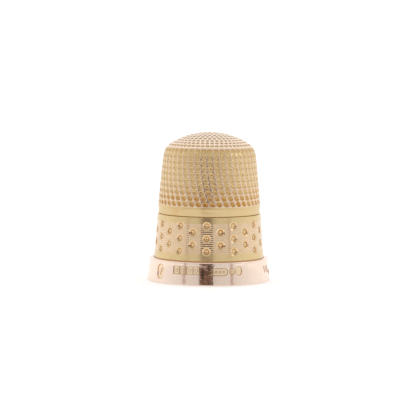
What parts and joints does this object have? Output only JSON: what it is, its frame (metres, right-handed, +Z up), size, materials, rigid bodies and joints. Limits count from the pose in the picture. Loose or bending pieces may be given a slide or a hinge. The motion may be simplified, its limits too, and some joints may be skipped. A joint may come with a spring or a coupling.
{
  "type": "sewing thimble",
  "caption": "Domed sewing thimble: knurled wall and crown, engraved border with punched dots, and a flared rim band in a second colour of gold.",
  "frame": {"origin": "middle of the foot plane, where the rim stands on the table", "axes": "+Z up the thimble's axis through the crown, -Y towards the side with the stamped marks, +X to the right of that side"},
  "size_m": [0.0184, 0.0184, 0.022],
  "materials": {
    "yellow_gold": "satin",
    "rose_gold_crown": "satin",
    "rose_gold_rim": "polished",
    "gold_solder": "satin"
  },
  "bodies": {
    "root": {"crown_cap": "rose_gold_crown", "side_wall": "yellow_gold", "rim_band": "rose_gold_rim", "rim_strip_solder": "gold_solder", "rim_top_solder": "gold_solder", "rim_foot_solder": "gold_solder", "crown_seam_solder": "gold_solder"}
  },
  "joints": []
}
